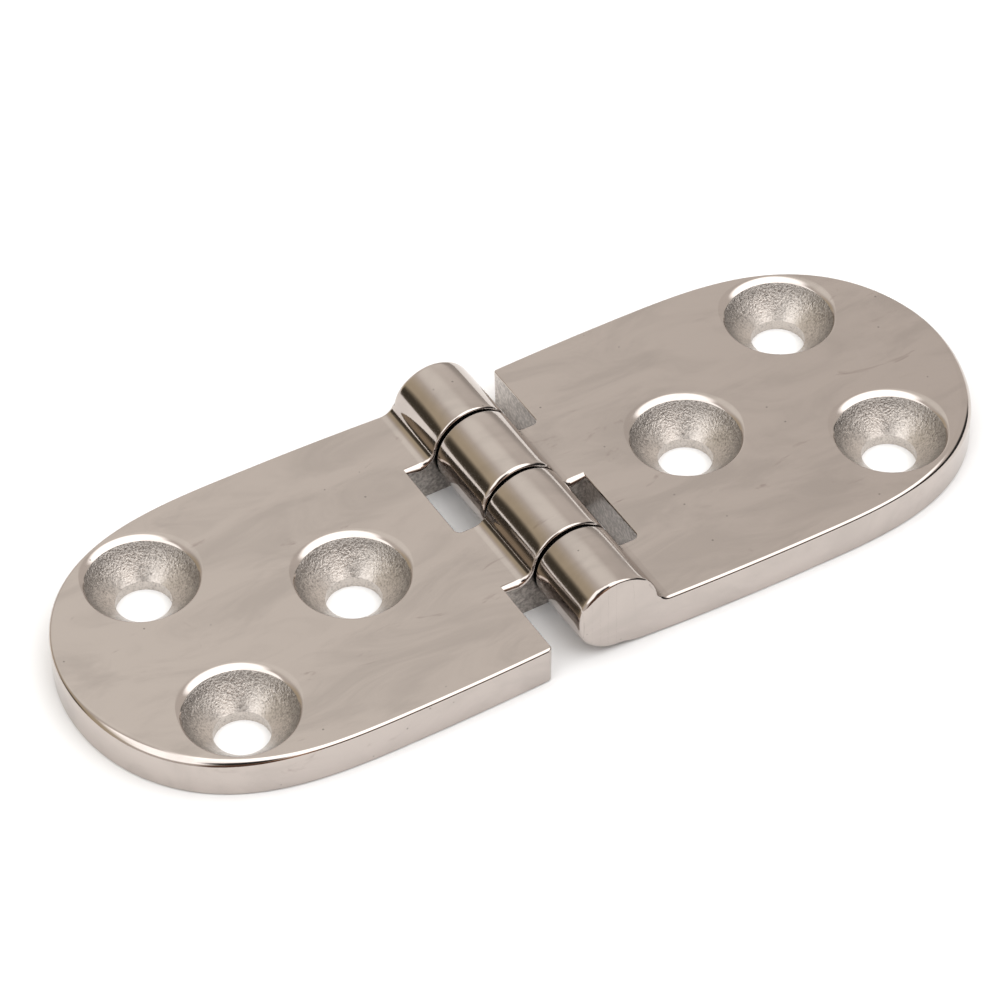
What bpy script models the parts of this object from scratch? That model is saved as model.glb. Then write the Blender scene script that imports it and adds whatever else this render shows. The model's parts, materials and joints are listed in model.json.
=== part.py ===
"""A round-ended cast strap hinge, opened flat.

Two leaves of one casting, the second turned half a turn about the vertical, share a barrel of four
knuckles, and one pin runs through it. The pin is tight in the left leaf and turns in the right one.
The origin is on the surface that the leaves lie on, below the middle of the pin. +X runs out along
the right leaf, +Y along the pin to its open end, and +Z up.
"""

import math

import bmesh
import bpy
from mathutils import Matrix

MM = 0.001

# Driving dimensions. A leaf is widest at WIDEST_X. From there its sides sweep in a little towards the
# barrel, and its tip is a superellipse.
LEAF_HALF_WIDTH = 26.9 * MM
WIDEST_X = 31.0 * MM
SIDE_SWEEP = 0.95 * MM
LEAF_LENGTH = 71.0 * MM
TIP_POWER = 3.2
LEAF_THICKNESS = 6.1 * MM
LEAF_END = 10.7 * MM
LEAF_EDGE_ROUND = 0.5 * MM
BARREL_RADIUS = 6.25 * MM
AXIS_HEIGHT = 6.8 * MM
KNUCKLES = 4
KNUCKLE_PITCH = 13.7 * MM
KNUCKLE_GAP = 0.7 * MM
WEB_FILLET = 2.2 * MM
UNDERSIDE_BLEND = 3.0 * MM
POCKET_CORNER = 0.5 * MM
SCREW_HOLE_RADIUS = 4.0 * MM
COUNTERSINK_RADIUS = 8.0 * MM
COUNTERSINK_RIM_DEPTH = 0.43 * MM
COUNTERSINK_ROLL_RADIUS = 9.5 * MM
INNER_HOLE_X = 27.3 * MM
OUTER_HOLES_X = 52.7 * MM
OUTER_HOLES_Y = 14.6 * MM
PIN_RADIUS = 3.0 * MM
PIN_CLEARANCE = 0.2 * MM
PIN_CHAMFER = 0.4 * MM
BORE_STOP = 3.5 * MM

# Cutters run this far past the metal, and edges this near a plane belong to it.
OVERSHOOT = 2.0 * MM
NEAR = 0.05 * MM
WELD = 0.001 * MM

# The number of straight steps in each round stretch.
SIDE_STEPS = 5
TIP_STEPS = 44
BARREL_STEPS = 44
CORNER_STEPS = 4
HOLE_STEPS = 40
ROLL_STEPS = 2
ROUND_SEGMENTS = 2
SHARP_ANGLE = math.radians(35)


def clear_scene():
    for obj in list(bpy.data.objects):
        bpy.data.objects.remove(obj)


def new_collection(name):
    collection = bpy.data.collections.new(name)
    bpy.context.scene.collection.children.link(collection)
    return collection


def polished_steel(name, colour):
    material = bpy.data.materials.new(name)
    material.use_nodes = True
    shader = material.node_tree.nodes["Principled BSDF"]
    shader.inputs["Base Color"].default_value = (*colour, 1)
    shader.inputs["Metallic"].default_value = 1
    shader.inputs["Roughness"].default_value = 0.12
    return material


def arc(centre, radius, start, end, steps):
    """Points from one angle to another, in degrees, both ends included."""
    points = []
    for step in range(steps + 1):
        angle = math.radians(start + (end - start) * step / steps)
        points.append((centre[0] + radius * math.cos(angle), centre[1] + radius * math.sin(angle)))
    return points


def evaluated_mesh(obj):
    bpy.context.view_layer.update()
    graph = bpy.context.evaluated_depsgraph_get()
    return bpy.data.meshes.new_from_object(obj.evaluated_get(graph))


def extruded(name, points, half_depth, placement, collection):
    """A closed solid of this outline, as a mesh."""
    curve = bpy.data.curves.new(name, "CURVE")
    curve.dimensions = "2D"
    curve.fill_mode = "BOTH"
    curve.extrude = half_depth
    spline = curve.splines.new("POLY")
    spline.points.add(len(points) - 1)
    for point, (x, y) in zip(spline.points, points):
        point.co = (x, y, 0, 1)
    spline.use_cyclic_u = True
    outline = bpy.data.objects.new(name + "_outline", curve)
    bpy.context.scene.collection.objects.link(outline)
    outline.matrix_world = placement
    mesh = evaluated_mesh(outline)
    solid = bpy.data.objects.new(name, mesh)
    solid.matrix_world = outline.matrix_world
    collection.objects.link(solid)
    bpy.data.objects.remove(outline)
    shape = bmesh.new()
    shape.from_mesh(mesh)
    bmesh.ops.remove_doubles(shape, verts=shape.verts, dist=WELD)
    shape.to_mesh(mesh)
    shape.free()
    return solid


def as_cutter(obj):
    obj.hide_render = True
    obj.display_type = "WIRE"
    return obj


def add_boolean(obj, operation, other):
    modifier = obj.modifiers.new(other.name, "BOOLEAN")
    modifier.operation = operation
    modifier.object = other


def half_width(x):
    """Half the leaf's width at this distance from the pin's axis."""
    if x > WIDEST_X:
        along = min((x - WIDEST_X) / (LEAF_LENGTH - WIDEST_X), 1)
        return LEAF_HALF_WIDTH * math.sqrt(1 - along**TIP_POWER)
    return LEAF_HALF_WIDTH - SIDE_SWEEP * (1 - max(x, 0) / WIDEST_X) ** 2


def reach(y):
    """How far the leaf's tip reaches from the pin's axis at this distance from the centre line."""
    across = min(abs(y) / LEAF_HALF_WIDTH, 1)
    return WIDEST_X + (LEAF_LENGTH - WIDEST_X) * (1 - across**2) ** (1 / TIP_POWER)


def knuckle_span(index):
    """The ends of a knuckle along Y. Knuckle 0 is the nearest one, at the lowest Y."""
    low = (index - KNUCKLES / 2) * KNUCKLE_PITCH + KNUCKLE_GAP / 2
    high = low + KNUCKLE_PITCH - KNUCKLE_GAP
    return max(low, -half_width(0)), min(high, half_width(0))


def leaf_section():
    """The leaf from the side, as X and Z: barrel, fillet, top face, and underside."""
    fillet_z = LEAF_THICKNESS + WEB_FILLET
    rise = fillet_z - AXIS_HEIGHT
    fillet_x = math.sqrt((BARREL_RADIUS + WEB_FILLET) ** 2 - rise**2)
    meeting = math.degrees(math.atan2(rise, fillet_x))
    points = [(LEAF_LENGTH + OVERSHOOT, 0), (LEAF_LENGTH + OVERSHOOT, LEAF_THICKNESS)]
    points += arc((fillet_x, fillet_z), WEB_FILLET, -90, meeting - 180, CORNER_STEPS)
    points += arc((0, AXIS_HEIGHT), BARREL_RADIUS, meeting, 270, BARREL_STEPS)[1:]
    lift = AXIS_HEIGHT - BARREL_RADIUS
    for step in range(1, CORNER_STEPS + 1):
        part = step / CORNER_STEPS
        points.append((UNDERSIDE_BLEND * part, lift * (1 + math.cos(math.pi * part)) / 2))
    return points


def leaf_plan():
    """The right leaf from above: its two knuckles, the recesses for the other two, and the round end."""
    inside = -BARREL_RADIUS - OVERSHOOT
    near_low, near_high = knuckle_span(0)
    far_low, far_high = knuckle_span(2)
    corner = POCKET_CORNER
    points = [(inside, near_low)]
    for step in range(SIDE_STEPS):
        x = WIDEST_X * step / SIDE_STEPS
        points.append((x, -half_width(x)))
    for step in range(TIP_STEPS + 1):
        y = LEAF_HALF_WIDTH * math.sin(math.pi * (step / TIP_STEPS - 0.5))
        points.append((reach(y), y))
    for step in range(1, SIDE_STEPS + 1):
        x = WIDEST_X + (LEAF_END - WIDEST_X) * step / SIDE_STEPS
        points.append((x, half_width(x)))
    points += arc((LEAF_END - corner, far_high + corner), corner, 0, -90, CORNER_STEPS)
    points += [(inside, far_high), (inside, far_low)]
    points += arc((LEAF_END - corner, far_low - corner), corner, 90, 0, CORNER_STEPS)
    points += arc((LEAF_END - corner, near_high + corner), corner, 0, -90, CORNER_STEPS)
    points.append((inside, near_high))
    return points


def on_outer_wall(face):
    """Whether an upright face is on the leaf's outline: its sides, its tip, or the barrel's ends."""
    if abs(face.normal.z) > 0.5:
        return False
    centre = face.calc_center_median()
    return abs(centre.y) > half_width(centre.x) - NEAR or centre.x > reach(centre.y) - NEAR


def on_knuckle_end(face):
    return abs(face.normal.y) > 0.99 and not on_outer_wall(face)


def rounded_edges(shape):
    """The edges that polishing rounds: the leaf's top outline and the ends of its knuckles."""
    edges = []
    barrel_edge_x = BARREL_RADIUS + WEB_FILLET / 2
    for edge in shape.edges:
        if len(edge.link_faces) != 2:
            continue
        middle = (edge.verts[0].co + edge.verts[1].co) / 2
        outer = [on_outer_wall(face) for face in edge.link_faces]
        ends = [on_knuckle_end(face) for face in edge.link_faces]
        free = middle.x < 0 or middle.z > LEAF_THICKNESS - NEAR
        if free and any(outer) and not all(outer):
            edges.append(edge)
        elif free and any(ends) and not all(ends) and middle.x < barrel_edge_x:
            edges.append(edge)
    return edges


def countersink_profile():
    """A screw hole's cutter from the side, as X and Z, from the top of the axis down to its foot.

    The face rolls down to the rim of the countersink, which is a right-angled cone below it.
    """
    width = COUNTERSINK_ROLL_RADIUS - COUNTERSINK_RADIUS
    roll = (width**2 + COUNTERSINK_RIM_DEPTH**2) / (2 * COUNTERSINK_RIM_DEPTH)
    steepest = math.degrees(math.asin(width / roll))
    outermost = steepest / (2 * ROLL_STEPS)
    centre = (COUNTERSINK_ROLL_RADIUS, LEAF_THICKNESS - roll)
    rim = arc(centre, roll, 90 + outermost, 90 + steepest, ROLL_STEPS)
    land = LEAF_THICKNESS - COUNTERSINK_RIM_DEPTH - (COUNTERSINK_RADIUS - SCREW_HOLE_RADIUS)
    top = LEAF_THICKNESS + OVERSHOOT
    foot = [(SCREW_HOLE_RADIUS, land), (SCREW_HOLE_RADIUS, -OVERSHOOT), (0, -OVERSHOOT)]
    return [(0, top), (rim[0][0], top), *rim, *foot]


def turned(name, profile, steps, collection):
    """A solid turned about Z from a profile of X and Z, top to bottom."""
    mesh = bpy.data.meshes.new(name)
    corners = [(x, 0, z) for x, z in profile]
    mesh.from_pydata(corners, [(i, i + 1) for i in range(len(corners) - 1)], [])
    solid = bpy.data.objects.new(name, mesh)
    collection.objects.link(solid)
    screw = solid.modifiers.new("turn", "SCREW")
    screw.steps = steps
    screw.render_steps = steps
    screw.use_merge_vertices = True
    screw.merge_threshold = WELD
    return solid


def hole_cutters(side, collection):
    """The cutters of one leaf's three screw holes. Side is 1 for the right leaf and -1 for the left."""
    centres = [(INNER_HOLE_X, 0), (OUTER_HOLES_X, -OUTER_HOLES_Y), (OUTER_HOLES_X, OUTER_HOLES_Y)]
    cutters = []
    for x, y in centres:
        cutter = turned("screw_hole", countersink_profile(), HOLE_STEPS, collection)
        cutter.location = (side * x, side * y, 0)
        cutters.append(as_cutter(cutter))
    return cutters


def cylinder(name, radius, low, high, chamfer, collection):
    """A closed cylinder on the pin's axis between two places along Y."""
    middle = (low + high) / 2
    shape = bmesh.new()
    bmesh.ops.create_cone(
        shape, cap_ends=True, segments=HOLE_STEPS, radius1=radius, radius2=radius, depth=high - low
    )
    if chamfer:
        rims = [edge for edge in shape.edges if abs(edge.verts[0].co.z - edge.verts[1].co.z) < NEAR]
        bmesh.ops.bevel(shape, geom=rims, offset=chamfer, segments=1, affect="EDGES")
    shape.transform(Matrix.Rotation(math.radians(-90), 4, "X"))
    mesh = bpy.data.meshes.new(name)
    shape.to_mesh(mesh)
    shape.free()
    solid = bpy.data.objects.new(name, mesh)
    solid.location = (0, middle, AXIS_HEIGHT)
    collection.objects.link(solid)
    return solid


def smooth(mesh):
    mesh.shade_smooth()
    mesh.set_sharp_from_angle(angle=SHARP_ANGLE)


def leaf_blank(collection):
    """The mesh of the right leaf in its place, with its recesses and rounded edges, before it is drilled."""
    upright = Matrix.Rotation(math.radians(90), 4, "X")
    side = extruded("side_view", leaf_section(), LEAF_HALF_WIDTH + OVERSHOOT, upright, collection)
    height = AXIS_HEIGHT + BARREL_RADIUS + 2 * OVERSHOOT
    lift = Matrix.Translation((0, 0, height / 2 - OVERSHOOT))
    plan = extruded("plan_view", leaf_plan(), height / 2, lift, collection)
    add_boolean(side, "INTERSECT", plan)
    mesh = evaluated_mesh(side)
    shape = bmesh.new()
    shape.from_mesh(mesh)
    shape.transform(side.matrix_world)
    bmesh.ops.remove_doubles(shape, verts=shape.verts, dist=WELD)
    bmesh.ops.bevel(
        shape, geom=rounded_edges(shape), offset=LEAF_EDGE_ROUND, segments=ROUND_SEGMENTS,
        profile=0.5, affect="EDGES", clamp_overlap=True,
    )
    bmesh.ops.remove_doubles(shape, verts=shape.verts, dist=WELD)
    shape.to_mesh(mesh)
    shape.free()
    for helper in (side, plan):
        bpy.data.objects.remove(helper)
    return mesh


def make_leaf(name, blank, turn, bore, holes, collection, material):
    """One leaf, turned about the vertical by this angle and drilled, its origin on the pin's axis."""
    mesh = blank.copy()
    mesh.name = name
    leaf = bpy.data.objects.new(name, mesh)
    mesh.transform(Matrix.Translation((0, 0, -AXIS_HEIGHT)))
    leaf.location = (0, 0, AXIS_HEIGHT)
    leaf.rotation_euler = (0, 0, turn)
    collection.objects.link(leaf)
    mesh.materials.append(material)
    smooth(mesh)
    add_boolean(leaf, "DIFFERENCE", bore)
    for hole in holes:
        add_boolean(leaf, "DIFFERENCE", hole)
    return leaf


def main():
    clear_scene()
    parts = new_collection("strap_hinge")
    cutters = new_collection("cutters")
    steel = polished_steel("polished_steel", (0.62, 0.58, 0.53))
    pin_steel = polished_steel("pin_steel", (0.55, 0.53, 0.51))

    blank = leaf_blank(cutters)
    bore_low = -half_width(0) + BORE_STOP
    bore_high = half_width(0) + OVERSHOOT
    bore = as_cutter(cylinder("bore", PIN_RADIUS + PIN_CLEARANCE, bore_low, bore_high, 0, cutters))
    make_leaf("right_leaf", blank, 0, bore, hole_cutters(1, cutters), parts, steel)
    make_leaf("left_leaf", blank, math.pi, bore, hole_cutters(-1, cutters), parts, steel)
    pin_low = bore_low + PIN_CLEARANCE
    pin = cylinder("hinge_pin", PIN_RADIUS, pin_low, half_width(0), PIN_CHAMFER, parts)
    pin.data.materials.append(pin_steel)
    smooth(pin.data)


main()
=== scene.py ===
"""The looks of a round-ended cast strap hinge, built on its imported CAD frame."""
import json
import math

import bmesh
import bpy
import numpy as np
from mathutils import Matrix, Vector


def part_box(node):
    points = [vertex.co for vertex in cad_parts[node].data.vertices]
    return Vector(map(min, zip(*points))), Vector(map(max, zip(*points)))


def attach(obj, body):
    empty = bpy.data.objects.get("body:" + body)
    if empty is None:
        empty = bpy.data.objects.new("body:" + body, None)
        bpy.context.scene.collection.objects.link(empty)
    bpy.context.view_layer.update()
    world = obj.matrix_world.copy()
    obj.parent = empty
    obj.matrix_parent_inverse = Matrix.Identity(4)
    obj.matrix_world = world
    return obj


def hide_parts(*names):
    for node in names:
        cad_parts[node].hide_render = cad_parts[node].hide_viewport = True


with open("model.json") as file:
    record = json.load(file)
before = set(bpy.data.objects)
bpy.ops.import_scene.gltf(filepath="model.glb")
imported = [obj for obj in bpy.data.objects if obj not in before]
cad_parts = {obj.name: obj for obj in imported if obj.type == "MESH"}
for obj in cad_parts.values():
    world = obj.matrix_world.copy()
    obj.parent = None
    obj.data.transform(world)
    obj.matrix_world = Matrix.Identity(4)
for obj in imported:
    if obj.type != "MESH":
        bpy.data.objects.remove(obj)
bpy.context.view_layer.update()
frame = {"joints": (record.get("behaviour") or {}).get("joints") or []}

MM = 0.001

# The CAD model's own sizes, read from the frame.
RIGHT_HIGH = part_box("right_leaf")[1]
PIN_LOW, PIN_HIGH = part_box("hinge_pin")
HALF_WIDTH = RIGHT_HIGH.y
LENGTH = RIGHT_HIGH.x
AXIS_HEIGHT = frame["joints"][0]["pos_m"][2]
BARREL_RADIUS = RIGHT_HIGH.z - AXIS_HEIGHT
PIN_RADIUS = PIN_HIGH.x

# Sizes that the frame doesn't give, the same as the CAD model's.
WIDEST_X = 31.0 * MM
SIDE_SWEEP = 0.95 * MM
TIP_POWER = 3.2
THICKNESS = 6.1 * MM
LEAF_END = 10.7 * MM
KNUCKLES = 4
KNUCKLE_PITCH = 13.7 * MM
KNUCKLE_GAP = 0.7 * MM
WEB_FILLET = 2.2 * MM
UNDERSIDE_BLEND = 3.0 * MM
HOLE_RADIUS = 4.0 * MM
SINK_RADIUS = 8.0 * MM
SINK_RIM_DEPTH = 0.43 * MM
HOLE_CENTRES = [(27.3 * MM, 0), (52.7 * MM, -14.6 * MM), (52.7 * MM, 14.6 * MM)]

# Inwards of this, the leaf's side leaves the CAD's sweep and eases straight into the barrel's end.
STRAIGHT_X = 12.0 * MM

# The face's roll round a countersink, from its outer radius to the rim. It starts this share of the way
# in, and falls by this power. It keeps its full width only on the side that the polisher worked into, at
# this angle from +X in degrees, and narrows between these cosines of the angle from there.
SINK_ROLL_RADIUS = 9.6 * MM
SINK_ROLL_START = 0.1
SINK_ROLL_POWER = 2.2
WIDEST_ROLL_ANGLE = 68
WIDE_ROLL_ENDS = (-0.2, 0.7)
NARROWEST_ROLL = 0.3

# How far polishing has rounded each kind of edge. The side that the polisher worked from is the
# rounder one: it faces -Y. WIDEST_ROUND is the scale that a bevel's weights are shares of.
SIDE_ROUND = 0.55 * MM
FRONT_TIP_ROUND = 1.6 * MM
BACK_TIP_ROUND = 0.5 * MM
UNDER_ROUND = 0.4 * MM
OPEN_END_ROUND = 1.0 * MM
NEAR_END_RIGHT_ROUND = 0.4 * MM
NEAR_END_LEFT_ROUND = 0.9 * MM
GAP_FRONT_RIGHT_ROUND = 0.65 * MM
GAP_FRONT_LEFT_ROUND = 0.4 * MM
GAP_BACK_ROUND = 0.25 * MM
WALL_FRONT_ROUND = 1.0 * MM
WALL_BACK_ROUND = 0.18 * MM
WIDEST_ROUND = 1.6 * MM
PIN_EDGE_ROUND = 0.2 * MM
FRONT_CORNER = 0.9 * MM
OUTER_CORNER = 1.0 * MM

# Where one rounding passes into another: along the tip in X, from front to back as shares of the half
# width, and over the barrel's near end as degrees round the pin from +X.
TIP_ROUNDING = (LENGTH - HALF_WIDTH, LENGTH - 1 * MM)
FRONT_TO_BACK = (-0.55, 0.2)
NEAR_END_TURN = (80, 130)

# Edges this close to the pin's axis belong to the bore and stay crisp.
BORE_EDGES = PIN_RADIUS + 1 * MM

# How far a recess's end wall takes the as-cast wall's colour, roughness and lumps, where its side walls take
# them fully. The smaller share is painted light, toning the end walls apart from the side walls for the way
# they face the light.
END_WALL_CAST_AND_LIGHT = 0.8

# A knuckle is this much slimmer at its ends than in its middle. Its barrel is cut at these places, as
# shares of its half length, and the crown fades in and out at these degrees round the pin from +X.
# The rounded edges, which follow it, lie this far inside the barrel's surface at most.
KNUCKLE_CROWN = 0.1 * MM
CROWN_CUTS = (-0.85, -0.7, -0.5, -0.25, 0, 0.25, 0.5, 0.7, 0.85)
CROWN_RISE = (35, 60)
CROWN_FALL = (230, 260)
CROWN_DEPTH = 1.2 * MM

# The running gap between the pin and its bores, too fine for the CAD solids.
PIN_GAP = 0.03 * MM

# How the meshes are cut and how finely they are stepped.
OVERSHOOT = 2 * MM
NEAR = 0.03 * MM
WELD = 0.0005 * MM
SIDE_STEPS = 30
TIP_STEPS = 200
BARREL_STEPS = 140
FILLET_STEPS = 44
CORNER_STEPS = 14
HOLE_STEPS = 128
ROLL_STEPS = 20
CONE_ROWS = 8
ROUND_STEPS = 7
SHARP_ANGLE = math.radians(32)

# The steel's colours: polished, in marks and specks, in the pits and on the grains of a countersink, where
# the pits' colour is also painted shade under the rim, and at the darkest and palest of a recess wall. The
# last is painted shade, near black, in the gap between two knuckles.
LEAF_COLOUR = (0.54, 0.485, 0.45)
PIN_COLOUR = (0.55, 0.51, 0.47)
MARK_COLOUR = (0.34, 0.28, 0.26, 1)
SPECK_COLOUR = (0.10, 0.09, 0.08, 1)
PIT_AND_SHADE_COLOUR = (0.20, 0.18, 0.165, 1)
GRAIN_COLOUR = (0.60, 0.55, 0.505, 1)
DARK_WALL_COLOUR = (0.31, 0.285, 0.265, 1)
PALE_WALL_COLOUR = (0.62, 0.575, 0.54, 1)
GAP_SHADE_COLOUR = (0.03, 0.028, 0.025, 1)

# The way the steel was wiped, in degrees, how high its faint waves and its as-cast lumps stand, how far
# either side of the barrel's surface the painted shade in a knuckle gap fades, and how metallic the as-cast
# skin looks.
WIPING_ANGLE = 50
WAVE_HEIGHT = 0.02 * MM
CAST_HEIGHT = 0.16 * MM
GAP_SHADE_FADE = 0.3 * MM
CAST_METALLIC = 0.74

# The camera stands at the height and side that the photograph was taken from.
CAMERA_AZIMUTH = -29.775
CAMERA_ELEVATION = 44.103
CAMERA_ROLL = -1.025
CAMERA_DISTANCE = 609.43 * MM
CAMERA_SLIDE = (-3.174 * MM, 5.007 * MM)
CAMERA_LENS = 154.6


# Shapes.

def arc(centre, radius, start, end, steps):
    """Points from one angle to another, in degrees, both ends included."""
    points = []
    for step in range(steps + 1):
        angle = math.radians(start + (end - start) * step / steps)
        points.append((centre[0] + radius * math.cos(angle), centre[1] + radius * math.sin(angle)))
    return points


def ramp(value, low, high):
    """0 below low, 1 above high, and a smooth rise between them."""
    part = min(max((value - low) / (high - low), 0), 1)
    return part * part * (3 - 2 * part)


def link(obj):
    bpy.context.scene.collection.objects.link(obj)
    return obj


def evaluated_mesh(obj):
    """The object's mesh with its modifiers applied."""
    bpy.context.view_layer.update()
    graph = bpy.context.evaluated_depsgraph_get()
    return bpy.data.meshes.new_from_object(obj.evaluated_get(graph))


def extruded(name, points, half_depth, placement):
    """A closed solid of this outline, with its place in its mesh."""
    curve = bpy.data.curves.new(name, "CURVE")
    curve.dimensions = "2D"
    curve.fill_mode = "BOTH"
    curve.extrude = half_depth
    spline = curve.splines.new("POLY")
    spline.points.add(len(points) - 1)
    for point, (x, y) in zip(spline.points, points):
        point.co = (x, y, 0, 1)
    spline.use_cyclic_u = True
    outline = link(bpy.data.objects.new(name + "_outline", curve))
    mesh = evaluated_mesh(outline)
    bpy.data.objects.remove(outline)
    mesh.transform(placement)
    shape = bmesh.new()
    shape.from_mesh(mesh)
    bmesh.ops.remove_doubles(shape, verts=shape.verts, dist=WELD)
    bmesh.ops.dissolve_limit(
        shape, angle_limit=math.radians(0.01), verts=shape.verts, edges=shape.edges, delimit={"NORMAL"}
    )
    shape.to_mesh(mesh)
    shape.free()
    return link(bpy.data.objects.new(name, mesh))


def turned(name, profile, steps):
    """The mesh of a closed solid turned about Z from a profile of X and Z, top to bottom."""
    mesh = bpy.data.meshes.new(name)
    mesh.from_pydata([(x, 0, z) for x, z in profile], [(i, i + 1) for i in range(len(profile) - 1)], [])
    solid = link(bpy.data.objects.new(name, mesh))
    screw = solid.modifiers.new("turn", "SCREW")
    screw.steps = steps
    screw.render_steps = steps
    screw.use_merge_vertices = True
    screw.merge_threshold = WELD
    turned_mesh = evaluated_mesh(solid)
    bpy.data.objects.remove(solid)
    return turned_mesh


def add_boolean(obj, operation, other):
    modifier = obj.modifiers.new(other.name, "BOOLEAN")
    modifier.operation = operation
    modifier.object = other


def half_width(x):
    """Half the leaf's width at this distance from the pin's axis."""
    if x > WIDEST_X:
        along = min((x - WIDEST_X) / (LENGTH - WIDEST_X), 1)
        return HALF_WIDTH * math.sqrt(1 - along**TIP_POWER)
    if x > STRAIGHT_X:
        return HALF_WIDTH - SIDE_SWEEP * (1 - x / WIDEST_X) ** 2
    barrel_end = HALF_WIDTH - SIDE_SWEEP
    span = STRAIGHT_X + BARREL_RADIUS
    part = min(max((x + BARREL_RADIUS) / span, 0), 1)
    slope = 2 * SIDE_SWEEP / WIDEST_X * (1 - STRAIGHT_X / WIDEST_X)
    rise = half_width(STRAIGHT_X + WELD) - barrel_end
    return barrel_end + rise * part**2 * (3 - 2 * part) + slope * span * part**2 * (part - 1)


def reach(y):
    """How far the leaf's tip reaches from the pin's axis at this distance from the centre line."""
    across = min(abs(y) / HALF_WIDTH, 1)
    return WIDEST_X + (LENGTH - WIDEST_X) * (1 - across**2) ** (1 / TIP_POWER)


def knuckle_span(index):
    """The ends of a knuckle along Y. Knuckle 0 is the nearest one, at the lowest Y."""
    low = (index - KNUCKLES / 2) * KNUCKLE_PITCH + KNUCKLE_GAP / 2
    high = low + KNUCKLE_PITCH - KNUCKLE_GAP
    barrel_end = HALF_WIDTH - SIDE_SWEEP
    return max(low, -barrel_end), min(high, barrel_end)


def leaf_section():
    """The leaf from the side, as X and Z: barrel, fillet, top face, and underside."""
    fillet_z = THICKNESS + WEB_FILLET
    rise = fillet_z - AXIS_HEIGHT
    fillet_x = math.sqrt((BARREL_RADIUS + WEB_FILLET) ** 2 - rise**2)
    meeting = math.degrees(math.atan2(rise, fillet_x))
    points = [(LENGTH + OVERSHOOT, 0), (LENGTH + OVERSHOOT, THICKNESS)]
    points += arc((fillet_x, fillet_z), WEB_FILLET, -90, meeting - 180, FILLET_STEPS)
    points += arc((0, AXIS_HEIGHT), BARREL_RADIUS, meeting, 270, BARREL_STEPS)[1:]
    lift = AXIS_HEIGHT - BARREL_RADIUS
    for step in range(1, CORNER_STEPS + 1):
        part = step / CORNER_STEPS
        points.append((UNDERSIDE_BLEND * part, lift * (1 + math.cos(math.pi * part)) / 2))
    return points


def leaf_plan(side):
    """The right leaf from above: its two knuckles, the recesses for the other two, and the round end.

    The recess corners towards the front of the finished hinge are rounded. The left leaf's front is its
    far side before it is turned.
    """
    inside = -BARREL_RADIUS - OVERSHOOT
    near_high = knuckle_span(0)[1]
    far_low, far_high = knuckle_span(2)
    points = []
    for step in range(SIDE_STEPS):
        x = inside + (WIDEST_X - inside) * step / SIDE_STEPS
        points.append((x, -half_width(x)))
    for step in range(TIP_STEPS + 1):
        y = HALF_WIDTH * math.sin(math.pi * (step / TIP_STEPS - 0.5))
        points.append((reach(y), y))
    for step in range(1, SIDE_STEPS + 1):
        x = WIDEST_X + (LEAF_END - WIDEST_X) * step / SIDE_STEPS
        points.append((x, half_width(x)))

    def recess_corner(y, turn):
        """The corner of a recess at this Y, whose end wall runs on towards turn * Y."""
        if turn != side:
            return [(LEAF_END, y)]
        centre = (LEAF_END - FRONT_CORNER, y + turn * FRONT_CORNER)
        start, end = (0, -90) if turn > 0 else (90, 0)
        return arc(centre, FRONT_CORNER, start, end, CORNER_STEPS)

    points += recess_corner(far_high, 1)
    points += [(inside, far_high), (inside, far_low)]
    points += recess_corner(far_low, -1)
    points += recess_corner(near_high, 1)
    points.append((inside, near_high))
    return points


def from_axis(point):
    """How far a point is from the pin's axis."""
    return math.hypot(point.x, point.z - AXIS_HEIGHT)


def on_outer_wall(face):
    """Whether an upright face is on the leaf's outline: its sides, its tip, or the barrel's ends."""
    if abs(face.normal.z) > 0.5:
        return False
    centre = face.calc_center_median()
    return abs(centre.y) > half_width(centre.x) - NEAR or centre.x > reach(centre.y) - NEAR


def outer_round(middle, side):
    """The rounding of an edge of the leaf's outline, or of the end of the barrel that the leaf carries."""
    if middle.x > BARREL_RADIUS:
        if middle.z < NEAR:
            return UNDER_ROUND
        behind = ramp(side * middle.y / HALF_WIDTH, *FRONT_TO_BACK)
        tip_round = FRONT_TIP_ROUND + (BACK_TIP_ROUND - FRONT_TIP_ROUND) * behind
        return SIDE_ROUND + (tip_round - SIDE_ROUND) * ramp(middle.x, *TIP_ROUNDING)
    if side < 0:
        return OPEN_END_ROUND
    around = math.degrees(math.atan2(middle.z - AXIS_HEIGHT, middle.x)) % 360
    leftward = ramp(around, *NEAR_END_TURN)
    return NEAR_END_RIGHT_ROUND + (NEAR_END_LEFT_ROUND - NEAR_END_RIGHT_ROUND) * leftward


def edge_round(edge, side):
    """How far polishing has rounded this edge of the blank, or 0 for one that is left crisp."""
    middle = (edge.verts[0].co + edge.verts[1].co) / 2
    if len(edge.link_faces) != 2 or from_axis(middle) < BORE_EDGES:
        return 0
    outside = [on_outer_wall(face) for face in edge.link_faces]
    along_end = abs(middle.x - LEAF_END) < NEAR and abs(edge.verts[0].co.x - edge.verts[1].co.x) < NEAR
    if along_end and any(outside):
        upright = all(abs(face.normal.z) < 0.01 for face in edge.link_faces)
        return OUTER_CORNER if upright else 0
    walls = [face for face in edge.link_faces if abs(face.normal.z) < 0.01 and (
        abs(face.normal.y) > 0.99 or middle.x > BARREL_RADIUS or on_outer_wall(face)
    )]
    if len(walls) != 1:
        return 0
    wall = walls[0]
    if on_outer_wall(wall):
        return outer_round(middle, side)
    if middle.z < THICKNESS - NEAR and middle.x > 0:
        return 0
    if abs(wall.normal.y) < 0.99:
        return WALL_BACK_ROUND
    on_leaf = ramp(middle.x, BARREL_RADIUS - 0.2 * MM, BARREL_RADIUS + WEB_FILLET)
    if side * wall.normal.y < 0:
        gap_round = GAP_FRONT_RIGHT_ROUND if side > 0 else GAP_FRONT_LEFT_ROUND
        return gap_round + (WALL_FRONT_ROUND - gap_round) * on_leaf
    return GAP_BACK_ROUND + (WALL_BACK_ROUND - GAP_BACK_ROUND) * on_leaf


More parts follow.
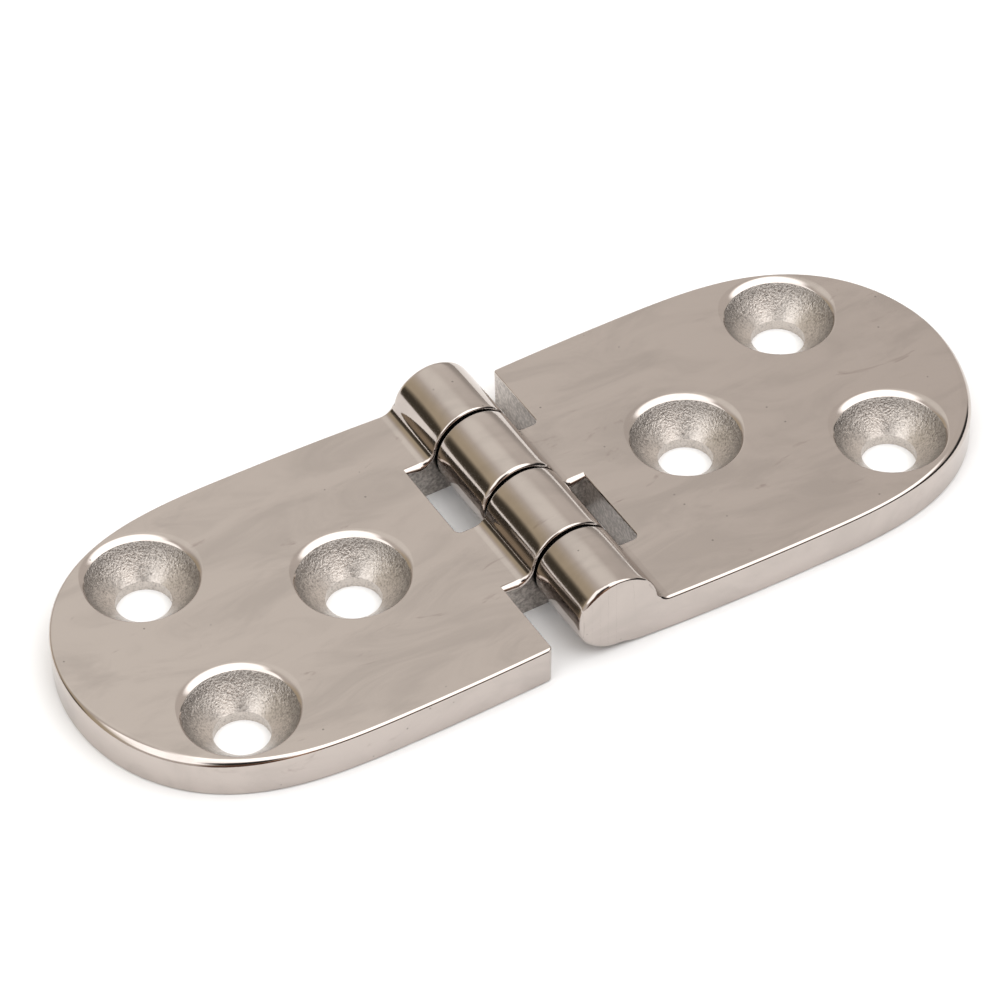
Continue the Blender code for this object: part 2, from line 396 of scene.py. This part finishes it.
def crown_knuckles(shape):
    """Splits the barrel's faces along Y, and draws them in a little towards each knuckle's ends."""
    for index in range(KNUCKLES):
        low, high = knuckle_span(index)
        middle, half = (low + high) / 2, (high - low) / 2
        for part in CROWN_CUTS:
            faces = [
                face for face in shape.faces
                if abs(face.normal.y) < 0.05
                and all(abs(from_axis(vert.co) - BARREL_RADIUS) < NEAR for vert in face.verts)
            ]
            around = set(faces)
            for face in faces:
                around.update(face.edges)
                around.update(face.verts)
            bmesh.ops.bisect_plane(
                shape, geom=list(around), dist=WELD, plane_co=(0, middle + half * part, 0), plane_no=(0, 1, 0)
            )
    for vert in shape.verts:
        radius = from_axis(vert.co)
        angle = math.degrees(math.atan2(vert.co.z - AXIS_HEIGHT, vert.co.x)) % 360
        if radius < BARREL_RADIUS - CROWN_DEPTH or radius > BARREL_RADIUS + NEAR:
            continue
        fade = ramp(angle, *CROWN_RISE) * (1 - ramp(angle, *CROWN_FALL))
        index = min(max(math.floor(vert.co.y / KNUCKLE_PITCH + KNUCKLES / 2), 0), KNUCKLES - 1)
        low, high = knuckle_span(index)
        part = abs(vert.co.y - (low + high) / 2) / ((high - low) / 2)
        scale = 1 - fade * KNUCKLE_CROWN * min(part, 1) ** 3 / radius
        vert.co.x *= scale
        vert.co.z = AXIS_HEIGHT + (vert.co.z - AXIS_HEIGHT) * scale


def bore_solid(side):
    """The cutter of the pin's bore. In the left leaf it runs the other way, as that leaf is turned later."""
    low, high = sorted((side * (PIN_LOW.y - PIN_GAP), side * (HALF_WIDTH + OVERSHOOT)))
    return pin_solid("bore", PIN_RADIUS + PIN_GAP, low, high, 0)


def leaf_blank(side):
    """A leaf's mesh in the right leaf's place, bored and with rounded edges, but without screw holes."""
    section = extruded(
        "side_view", leaf_section(), HALF_WIDTH + OVERSHOOT, Matrix.Rotation(math.radians(90), 4, "X")
    )
    height = AXIS_HEIGHT + BARREL_RADIUS + 2 * OVERSHOOT
    upwards = Matrix.Translation((0, 0, height / 2 - OVERSHOOT))
    plan = extruded("plan_view", leaf_plan(side), height / 2, upwards)
    bore = bore_solid(side)
    add_boolean(section, "INTERSECT", plan)
    add_boolean(section, "DIFFERENCE", bore)
    mesh = evaluated_mesh(section)
    for helper in (section, plan, bore):
        bpy.data.objects.remove(helper)
    shape = bmesh.new()
    shape.from_mesh(mesh)
    bmesh.ops.remove_doubles(shape, verts=shape.verts, dist=WELD)
    weight = shape.edges.layers.float.new("bevel_weight_edge")
    for edge in shape.edges:
        edge[weight] = edge_round(edge, side) / WIDEST_ROUND
    shape.to_mesh(mesh)
    shape.free()
    blank = link(bpy.data.objects.new("blank", mesh))
    bevel = blank.modifiers.new("polished_edges", "BEVEL")
    bevel.limit_method = "WEIGHT"
    bevel.width = WIDEST_ROUND
    bevel.segments = ROUND_STEPS
    bevel.use_clamp_overlap = False
    rounded = evaluated_mesh(blank)
    bpy.data.objects.remove(blank)
    shape = bmesh.new()
    shape.from_mesh(rounded)
    crown_knuckles(shape)
    shape.to_mesh(rounded)
    shape.free()
    return rounded


def countersink_profile():
    """A screw hole's cutter from the side, as X and Z, from the top of the axis down to its foot.

    The face rolls down to the rim of the countersink, which is a right-angled cone below it.
    """
    rim = []
    for step in range(ROLL_STEPS + 1):
        part = SINK_ROLL_START + (1 - SINK_ROLL_START) * step / ROLL_STEPS
        rim.append((
            SINK_ROLL_RADIUS + (SINK_RADIUS - SINK_ROLL_RADIUS) * part,
            THICKNESS - SINK_RIM_DEPTH * part**SINK_ROLL_POWER,
        ))
    land = THICKNESS - SINK_RIM_DEPTH - (SINK_RADIUS - HOLE_RADIUS)
    top = THICKNESS + OVERSHOOT
    cone = []
    for row in range(1, CONE_ROWS):
        drop = (SINK_RADIUS - HOLE_RADIUS) * row / CONE_ROWS
        cone.append((SINK_RADIUS - drop, THICKNESS - SINK_RIM_DEPTH - drop))
    foot = [(HOLE_RADIUS, land), (HOLE_RADIUS, -OVERSHOOT), (0, -OVERSHOOT)]
    return [(0, top), (rim[0][0], top), *rim, *cone, *foot]


def narrow_roll(sink):
    """Narrows the roll round a countersink's rim, except on the side that the polisher worked into."""
    for vertex in sink.vertices:
        radius = math.hypot(vertex.co.x, vertex.co.y)
        if radius > SINK_RADIUS:
            towards = math.cos(math.atan2(vertex.co.y, vertex.co.x) - math.radians(WIDEST_ROLL_ANGLE))
            share = NARROWEST_ROLL + (1 - NARROWEST_ROLL) * ramp(towards, *WIDE_ROLL_ENDS)
            scale = (SINK_RADIUS + (radius - SINK_RADIUS) * share) / radius
            vertex.co.x *= scale
            vertex.co.y *= scale


def make_leaf(name, side):
    """One leaf, drilled. Side is 1 for the right leaf and -1 for the left, turned half a turn."""
    mesh = leaf_blank(side)
    mesh.transform(Matrix.Rotation(0 if side > 0 else math.pi, 4, "Z"))
    leaf = link(bpy.data.objects.new(name, mesh))
    cutters = []
    sink = turned("screw_hole", countersink_profile(), HOLE_STEPS)
    narrow_roll(sink)
    for x, y in HOLE_CENTRES:
        cutter = link(bpy.data.objects.new("screw_hole", sink))
        cutter.location = (side * x, side * y, 0)
        add_boolean(leaf, "DIFFERENCE", cutter)
        cutters.append(cutter)
    leaf.data = evaluated_mesh(leaf)
    leaf.modifiers.clear()
    for cutter in cutters:
        bpy.data.objects.remove(cutter)
    return leaf


def pin_solid(name, radius, low, high, round_width):
    """A closed cylinder on the pin's axis between two places along Y, with its place in its mesh."""
    shape = bmesh.new()
    bmesh.ops.create_cone(
        shape, cap_ends=True, segments=HOLE_STEPS, radius1=radius, radius2=radius, depth=high - low
    )
    if round_width:
        rims = [edge for edge in shape.edges if abs(edge.verts[0].co.z - edge.verts[1].co.z) < NEAR]
        bmesh.ops.bevel(
            shape, geom=rims, offset=round_width, segments=ROUND_STEPS, profile=0.5, affect="EDGES"
        )
    shape.transform(Matrix.Rotation(math.radians(-90), 4, "X"))
    shape.transform(Matrix.Translation((0, (low + high) / 2, AXIS_HEIGHT)))
    mesh = bpy.data.meshes.new(name)
    shape.to_mesh(mesh)
    shape.free()
    return link(bpy.data.objects.new(name, mesh))


def mark_cast_faces(leaf):
    """Marks the surfaces that polishing doesn't reach.

    Each face corner gets a 'cast' value, 1 in a countersink's cone, and a 'recess' value, 1 on the
    walls beside the knuckles and a little less, as painted light for the way they face, on those behind them.
    Both are 0 on polished metal.
    """
    mesh = leaf.data
    side = 1 if leaf.name.startswith("right") else -1
    cast = np.zeros(len(mesh.loops), np.float32)
    recess = np.zeros(len(mesh.loops), np.float32)
    for face in mesh.polygons:
        centre, normal = face.center, face.normal
        out = side * centre.x
        loops = slice(face.loop_start, face.loop_start + face.loop_total)
        for x, y in HOLE_CENTRES:
            from_hole = math.hypot(out - x, side * centre.y - y)
            if from_hole < SINK_RADIUS and NEAR < centre.z < THICKNESS - SINK_RIM_DEPTH:
                cast[loops] = 1
        at_leaf_end = abs(out - LEAF_END) < FRONT_CORNER + NEAR
        end_wall = at_leaf_end and abs(centre.y) < half_width(out) - OUTER_CORNER
        inside_ends = abs(centre.y) < HALF_WIDTH - SIDE_SWEEP - NEAR
        side_wall = abs(normal.y) > 0.99 and inside_ends and out < LEAF_END
        if abs(normal.z) < 0.1 and end_wall:
            # End walls get a smaller share: painted light, for the way they face.
            recess[loops] = END_WALL_CAST_AND_LIGHT
        elif abs(normal.z) < 0.1 and side_wall:
            recess[loops] = 1
    for name, values in (("cast", cast), ("recess", recess)):
        mesh.attributes.new(name, "FLOAT", "CORNER").data.foreach_set("value", values)


def finish_shading(obj):
    """Smooth shading that keeps flat faces flat beside their rounded edges."""
    obj.data.shade_smooth()
    obj.data.set_sharp_from_angle(angle=SHARP_ANGLE)
    weighted = obj.modifiers.new("weighted_normals", "WEIGHTED_NORMAL")
    weighted.mode = "FACE_AREA"
    weighted.weight = 100
    weighted.keep_sharp = True
    name = obj.data.name
    obj.data = evaluated_mesh(obj)
    obj.modifiers.clear()
    obj.data.name = name


# Materials.

class Graph:
    """A small helper that adds nodes to a tree and links values or sockets to their inputs."""

    def __init__(self, tree):
        self.tree = tree

    def add(self, kind, inputs=None, **settings):
        node = self.tree.nodes.new(kind)
        for key, value in settings.items():
            setattr(node, key, value)
        for key, value in (inputs or {}).items():
            if isinstance(value, bpy.types.NodeSocket):
                self.tree.links.new(value, node.inputs[key])
            else:
                node.inputs[key].default_value = value
        return node

    def feed(self, socket, node, key):
        """Links a socket to a node's input, in place of any link there."""
        self.tree.links.new(socket, node.inputs[key])

    def fed(self, node, key):
        """The socket that an input takes its value from."""
        return node.inputs[key].links[0].from_socket

    def math(self, operation, *values):
        node = self.add("ShaderNodeMath", dict(enumerate(values)), operation=operation)
        return node.outputs[0]

    def remap(self, value, low, high, to_low=0.0, to_high=1.0, smooth=True):
        inputs = {"Value": value, "From Min": low, "From Max": high, "To Min": to_low, "To Max": to_high}
        kind = "SMOOTHSTEP" if smooth else "LINEAR"
        return self.add("ShaderNodeMapRange", inputs, interpolation_type=kind).outputs["Result"]

    def mix(self, factor, first, second):
        node = self.add("ShaderNodeMix", data_type="RGBA")
        for socket, value in ((node.inputs[0], factor), (node.inputs[6], first), (node.inputs[7], second)):
            if isinstance(value, bpy.types.NodeSocket):
                self.tree.links.new(value, socket)
            else:
                socket.default_value = value
        return node.outputs[2]

    def mix_value(self, factor, first, second):
        node = self.add("ShaderNodeMix", {0: factor, 2: first, 3: second}, data_type="FLOAT")
        return node.outputs[0]

    def noise(self, vector, scale, detail=2.0, roughness=0.5, distortion=0.0):
        inputs = {
            "Vector": vector, "Scale": scale, "Detail": detail, "Roughness": roughness,
            "Distortion": distortion,
        }
        return self.add("ShaderNodeTexNoise", inputs).outputs["Fac"]

    def scratches(self, vector, heading, spacing):
        """Thin lines along a heading in degrees, about this many millimetres apart."""
        turned_vector = self.add(
            "ShaderNodeMapping", {"Vector": vector, "Rotation": (0, 0, math.radians(heading))}
        ).outputs[0]
        stretched = self.add(
            "ShaderNodeMapping", {"Vector": turned_vector, "Scale": (0.12, 2.2 / spacing, 0.12)}
        ).outputs[0]
        return self.remap(self.noise(stretched, 1.0, 1.0, 0.4, 0.3), 0.70, 0.78)


def polished_steel(name, colour, seed):
    """A material of polished stainless steel, and its graph, its shader and a place in millimetres."""
    material = bpy.data.materials.new(name)
    material.use_nodes = True
    graph = Graph(material.node_tree)
    shader = material.node_tree.nodes["Principled BSDF"]
    shader.inputs["Metallic"].default_value = 1
    place = graph.add("ShaderNodeTexCoord").outputs["Object"]
    in_mm = graph.add(
        "ShaderNodeMapping",
        {"Vector": place, "Location": (seed, seed, 0), "Scale": (1 / MM, 1 / MM, 1 / MM)},
    ).outputs[0]
    wiped = graph.add(
        "ShaderNodeMapping",
        {"Vector": in_mm, "Rotation": (0, 0, math.radians(WIPING_ANGLE)), "Scale": (0.6, 1.5, 1)},
    ).outputs[0]

    smudge = graph.remap(graph.noise(wiped, 0.09, 5.0, 0.58, 0.9), 0.40, 0.72)
    marks = graph.remap(graph.noise(wiped, 0.12, 6.0, 0.6, 1.6), 0.64, 0.75)
    cells = graph.add("ShaderNodeTexVoronoi", {"Vector": in_mm, "Scale": 0.26})
    speck = graph.remap(cells.outputs["Distance"], 0.05, 0.03)
    base = graph.mix(smudge, (*colour, 1), (*[c * 0.87 for c in colour], 1))
    base = graph.mix(graph.math("MULTIPLY", marks, 0.6), base, MARK_COLOUR)
    base = graph.mix(graph.math("MULTIPLY", speck, 0.5), base, SPECK_COLOUR)
    graph.feed(base, shader, "Base Color")

    haze = graph.noise(in_mm, 1.3, 4.0, 0.6)
    lines = graph.math("MAXIMUM", graph.scratches(in_mm, 25, 0.9), graph.scratches(in_mm, -70, 1.3))
    gloss = graph.math("ADD", graph.math("MULTIPLY", smudge, 0.04), graph.remap(haze, 0.3, 0.8, 0.08, 0.11))
    graph.feed(graph.math("ADD", gloss, graph.math("MULTIPLY", lines, 0.05)), shader, "Roughness")

    waves = graph.noise(in_mm, 0.07, 2.0, 0.4)
    soft = graph.add("ShaderNodeBump", {"Strength": 1.0, "Distance": WAVE_HEIGHT, "Height": waves})
    graph.feed(soft.outputs[0], shader, "Normal")
    return material, graph, shader, in_mm


def sink_colour(graph, grain, fine, height):
    """The cone of a countersink: pitted, with painted shade darkening it towards its rim."""
    # The pits, with painted shade growing towards the rim.
    pits_and_shade = graph.math("ADD", graph.mix_value(0.35, fine, grain), graph.math("MULTIPLY", height, -0.17))
    cone = graph.mix(graph.remap(pits_and_shade, 0.14, 0.58), PIT_AND_SHADE_COLOUR, GRAIN_COLOUR)
    rim_shade = graph.math("MULTIPLY", graph.remap(height, 0.70, 1.0), 0.45)
    return graph.mix(rim_shade, cone, PIT_AND_SHADE_COLOUR)


def wall_colour(graph, grain, across, up):
    """A wall beside the knuckles, with painted shade, near black, where it runs on into the gap between two
    of them.
    """
    wall = graph.mix(graph.remap(grain, 0.35, 0.7), DARK_WALL_COLOUR, PALE_WALL_COLOUR)
    above_pin = graph.math("SUBTRACT", up, AXIS_HEIGHT)
    squares = graph.math("ADD", graph.math("POWER", across, 2), graph.math("POWER", above_pin, 2))
    from_pin = graph.math("SQRT", squares)
    # Painted shade: the wall goes near black inside the barrel's radius, in the gap between two knuckles.
    in_gap = graph.remap(from_pin, BARREL_RADIUS + GAP_SHADE_FADE, BARREL_RADIUS - GAP_SHADE_FADE)
    return graph.mix(in_gap, wall, GAP_SHADE_COLOUR)


def cast_steel(name, colour, seed):
    """Polished stainless steel that is left as cast in its countersinks and beside its knuckles."""
    material, graph, shader, in_mm = polished_steel(name, colour, seed)
    cast = graph.add("ShaderNodeAttribute", attribute_name="cast").outputs["Fac"]
    recess = graph.add("ShaderNodeAttribute", attribute_name="recess").outputs["Fac"]
    place = graph.add("ShaderNodeTexCoord").outputs["Object"]
    across, _, up = graph.add("ShaderNodeSeparateXYZ", {0: place}).outputs
    cone_top = THICKNESS - SINK_RIM_DEPTH
    cone_foot = cone_top - SINK_RADIUS + HOLE_RADIUS
    height = graph.remap(graph.math("MULTIPLY", up, 1 / MM), cone_foot / MM, cone_top / MM)
    grain = graph.noise(in_mm, 1.9, 3.0, 0.6)
    fine = graph.noise(in_mm, 3.6, 2.0, 0.5)

    base = graph.mix(cast, graph.fed(shader, "Base Color"), sink_colour(graph, grain, fine, height))
    base = graph.mix(recess, base, wall_colour(graph, grain, across, up))
    graph.feed(base, shader, "Base Color")
    graph.feed(graph.mix_value(cast, 1.0, CAST_METALLIC), shader, "Metallic")
    rough = graph.mix_value(cast, graph.fed(shader, "Roughness"), graph.remap(grain, 0.3, 0.7, 0.28, 0.44))
    graph.feed(graph.mix_value(recess, rough, 0.4), shader, "Roughness")

    lumps = graph.math("ADD", graph.math("MULTIPLY", grain, 0.6), fine)
    in_cone = graph.math("MULTIPLY", graph.math("MULTIPLY", lumps, graph.mix_value(height, 0.2, 1.0)), cast)
    on_wall = graph.math("MULTIPLY", graph.math("MULTIPLY", grain, 0.25), recess)
    casting = graph.add("ShaderNodeBump", {
        "Strength": 1.0,
        "Distance": CAST_HEIGHT,
        "Height": graph.math("ADD", in_cone, on_wall),
        "Normal": graph.fed(shader, "Normal"),
    })
    graph.feed(casting.outputs[0], shader, "Normal")
    return material


# Camera, floor and light.

def make_camera():
    azimuth, elevation = math.radians(CAMERA_AZIMUTH), math.radians(CAMERA_ELEVATION)
    back = Vector((
        math.sin(azimuth) * math.cos(elevation), -math.cos(azimuth) * math.cos(elevation), math.sin(elevation)
    ))
    level = Vector((math.cos(azimuth), math.sin(azimuth), 0))
    turn = Matrix.Rotation(math.radians(CAMERA_ROLL), 3, back)
    right = turn @ level
    up = back.cross(right)
    camera = link(bpy.data.objects.new("camera", bpy.data.cameras.new("camera")))
    camera.data.lens = CAMERA_LENS
    camera.data.clip_start = 0.01
    camera.data.clip_end = 20
    axes = Matrix((right, up, back)).transposed().to_4x4()
    camera.matrix_world = Matrix.Translation(
        back * CAMERA_DISTANCE + right * CAMERA_SLIDE[0] + up * CAMERA_SLIDE[1]
    ) @ axes
    bpy.context.scene.camera = camera


def make_floor():
    shape = bmesh.new()
    bmesh.ops.create_grid(shape, x_segments=1, y_segments=1, size=4)
    mesh = bpy.data.meshes.new("floor")
    shape.to_mesh(mesh)
    shape.free()
    floor = link(bpy.data.objects.new("floor", mesh))
    material = bpy.data.materials.new("floor")
    material.use_nodes = True
    shader = material.node_tree.nodes["Principled BSDF"]
    shader.inputs["Base Color"].default_value = (0.9, 0.9, 0.9, 1)
    shader.inputs["Roughness"].default_value = 0.9
    shader.inputs["Specular IOR Level"].default_value = 0
    mesh.materials.append(material)


def direction(azimuth, elevation):
    """A unit vector from a compass angle in degrees, from +X towards +Y, and a height above the horizon."""
    a, e = math.radians(azimuth), math.radians(elevation)
    return Vector((math.cos(a) * math.cos(e), math.sin(a) * math.cos(e), math.sin(e)))


def make_world():
    """A pale studio: a bright ceiling, pale walls, and a few dim places between them."""
    world = bpy.data.worlds.new("studio")
    world.use_nodes = True
    bpy.context.scene.world = world
    graph = Graph(world.node_tree)
    background = world.node_tree.nodes["Background"]
    looking = graph.add("ShaderNodeTexCoord").outputs["Generated"]
    colour = (0.76, 0.71, 0.665, 1)
    places = [
        # towards, full within, gone beyond (degrees), colour
        (direction(84, 53), 3, 25, (1.03, 1.0, 0.945, 1)),
        (direction(68, 22), 12, 26, (0.92, 0.88, 0.83, 1)),
        (direction(52, 0), 10, 22, (0.45, 0.42, 0.39, 1)),
        (direction(-60, 70), 33, 43, (2.5, 2.5, 2.5, 1)),
        (direction(-168, 50), 27, 33, (2.1, 2.1, 2.1, 1)),
        (direction(141, 12), 18, 44, (0.60, 0.52, 0.39, 1)),
        (direction(141, 10), 3, 17, (0.07, 0.06, 0.045, 1)),
        (direction(-75, 8), 18, 32, (0.60, 0.38, 0.27, 1)),
        (direction(-110, 8), 18, 32, (0.60, 0.38, 0.27, 1)),
        (direction(-6, 8), 13, 22, (0.04, 0.04, 0.04, 1)),
        (direction(-27, 10), 14, 24, (0.04, 0.04, 0.04, 1)),
        (direction(-50, 9), 14, 25, (0.05, 0.04, 0.04, 1)),
        (direction(-72, 7), 12, 23, (0.07, 0.05, 0.04, 1)),
        (direction(-119.8, 44.1), 11, 22, (0.03, 0.03, 0.03, 1)),
        (direction(-119, 10), 15, 26, (0.14, 0.08, 0.055, 1)),
    ]
    for towards, full, gone, light in places:
        dot = graph.add(
            "ShaderNodeVectorMath", {0: looking, 1: towards}, operation="DOT_PRODUCT"
        ).outputs["Value"]
        amount = graph.remap(dot, math.cos(math.radians(gone)), math.cos(math.radians(full)))
        colour = graph.mix(amount, colour, light)
    seen = graph.add("ShaderNodeLightPath").outputs["Is Camera Ray"]
    colour = graph.mix(seen, colour, (1, 1, 1, 1))
    graph.tree.links.new(colour, background.inputs["Color"])


def main():
    bpy.context.scene.view_settings.view_transform = "Standard"
    make_camera()
    make_floor()
    make_world()

    steel = cast_steel("polished_cast_steel", LEAF_COLOUR, 0.0)
    for name, side, body in (("left_leaf", -1, "left_half"), ("right_leaf", 1, "right_half")):
        leaf = make_leaf(name + "_casting", side)
        mark_cast_faces(leaf)
        finish_shading(leaf)
        leaf.data.materials.clear()
        leaf.data.materials.append(steel)
        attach(leaf, body)
        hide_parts(name)

    pin = pin_solid("ground_pin", PIN_RADIUS, PIN_LOW.y, PIN_HIGH.y, PIN_EDGE_ROUND)
    finish_shading(pin)
    pin_steel = polished_steel("ground_pin_steel", PIN_COLOUR, 40.0)[0]
    pin.data.materials.append(pin_steel)
    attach(pin, "left_half")
    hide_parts("hinge_pin")


main()
